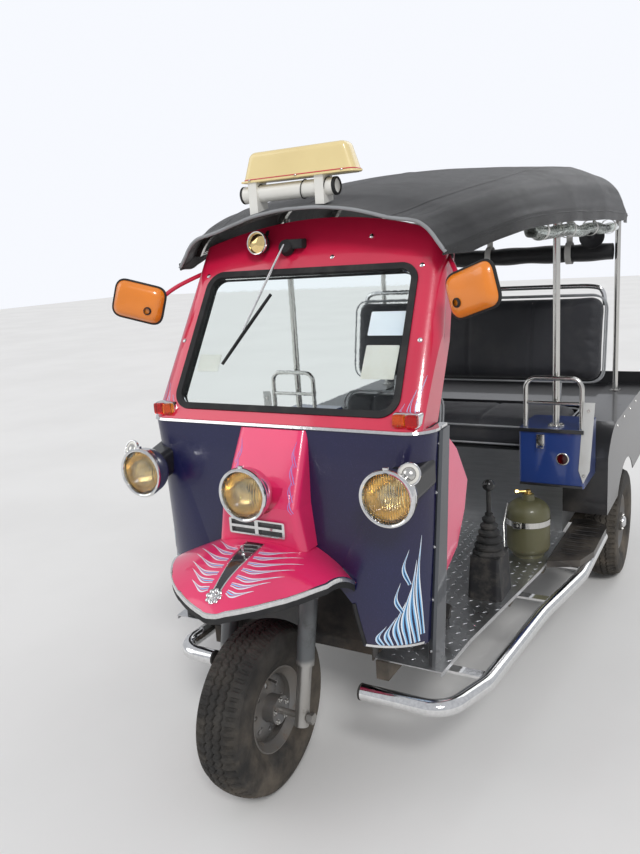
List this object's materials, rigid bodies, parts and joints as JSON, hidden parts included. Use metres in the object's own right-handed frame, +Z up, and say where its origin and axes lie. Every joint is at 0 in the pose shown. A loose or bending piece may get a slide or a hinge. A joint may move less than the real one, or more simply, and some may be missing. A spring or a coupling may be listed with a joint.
{
  "type": "auto rickshaw",
  "caption": "Three-wheeled passenger vehicle with a steered front wheel, open sides, a vinyl canopy on tube posts, a driver's seat and a rear bench.",
  "frame": {"origin": "centre of the overall box, on the ground under the wheels", "axes": "+Y towards the rear, +X towards the vehicle's left side, +Z up; the front wheel faces -Y"},
  "size_m": [1.475, 2.8999, 1.877],
  "materials": {
    "navy_paint": "glossy enamel on pressed sheet",
    "pink_paint": "glossy enamel on pressed sheet",
    "red_paint": "glossy enamel on the box-section pillars",
    "grey_paint": "satin enamel",
    "black_paint": "satin enamel, dusty",
    "blue_paint": "glossy enamel on sheet",
    "frame_paint": "chassis black",
    "seat_steel": "plain stainless sheet",
    "tread_plate": "raised tread plate, worn bright",
    "chrome": "polished chrome",
    "stainless": "polished stainless tube",
    "fork_grey": "grey enamel with bare lower legs",
    "rim_paint": "silver enamel, dirty",
    "tyre": "cross-ply tread",
    "screen_glass": "clear laminated glass",
    "lamp_glass": "clear pressed lens",
    "rubber": "black rubber",
    "dash_plastic": "grained moulding",
    "marker_lens": "amber in front, red behind",
    "cast_iron": "oily castings",
    "exhaust_steel": "heat-browned steel",
    "seat_vinyl": "black vinyl with piping",
    "olive_paint": "olive enamel, scuffed",
    "canopy_vinyl": "black coated cloth",
    "curtain_vinyl": "black coated cloth, rolled",
    "sign_cream": "cream translucent plastic, blank",
    "white_paint": "white enamel",
    "mirror_orange": "orange shell with a mirror face"
  },
  "bodies": {
    "vehicle": {"chassis_frame": "frame_paint", "steering_neck": "frame_paint", "floor_plate": "tread_plate", "front_cowl": "navy_paint", "cowl_side_posts": "grey_paint", "knee_wings": "pink_paint", "front_wheelhouse": "black_paint", "nose_column": "pink_paint", "front_fender": "pink_paint", "bright_trim": "chrome", "headlamp_bowls": "chrome", "headlamp_lenses": "lamp_glass", "lamp_pods": "black_paint", "windscreen_surround": "red_paint", "windscreen_gasket": "rubber", "windscreen_glass": "screen_glass", "dashboard": "dash_plastic", "marker_lamps": "marker_lens", "side_bars": "chrome", "steps": "black_paint", "engine_block": "cast_iron", "rear_axle": "frame_paint", "exhaust": "exhaust_steel", "seat_boxes": "seat_steel", "driver_seat_pads": "seat_vinyl", "driver_controls": "rubber", "side_boxes": "blue_paint", "gas_bottle": "olive_paint", "bench_cushion": "seat_vinyl", "bench_backrest": "seat_vinyl", "quarters": "black_paint", "tail_body": "black_paint", "rear_bumper": "chrome", "canopy": "canopy_vinyl", "roof_frame": "stainless", "guard_rails": "stainless", "rear_curtain_roll": "curtain_vinyl", "roof_sign": "sign_cream", "sign_carrier": "white_paint", "mirrors": "mirror_orange"},
    "steering": {"front_fork": "fork_grey", "handlebar": "chrome"},
    "front_wheel": {"front_rim": "rim_paint", "front_tyre": "tyre"},
    "rear_left_wheel": {"rear_left_rim": "rim_paint", "rear_left_tyre": "tyre"},
    "rear_right_wheel": {"rear_right_rim": "rim_paint", "rear_right_tyre": "tyre"}
  },
  "joints": [
    {"name": "steer", "type": "hinge", "parent": "vehicle", "child": "steering", "pos_m": [0, -1.16589, 0.24774], "axis": [0, 0.2419, 0.9703], "range_deg": [-35, 35]},
    {"name": "front_wheel_spin", "type": "hinge", "parent": "steering", "child": "front_wheel", "pos_m": [0, -1.195, 0.255], "axis": [1, 0, 0], "continuous": true},
    {"name": "rear_left_wheel_spin", "type": "hinge", "parent": "vehicle", "child": "rear_left_wheel", "pos_m": [0.665, 0.755, 0.255], "axis": [1, 0, 0], "continuous": true},
    {"name": "rear_right_wheel_spin", "type": "hinge", "parent": "vehicle", "child": "rear_right_wheel", "pos_m": [-0.665, 0.755, 0.255], "axis": [1, 0, 0], "continuous": true}
  ]
}
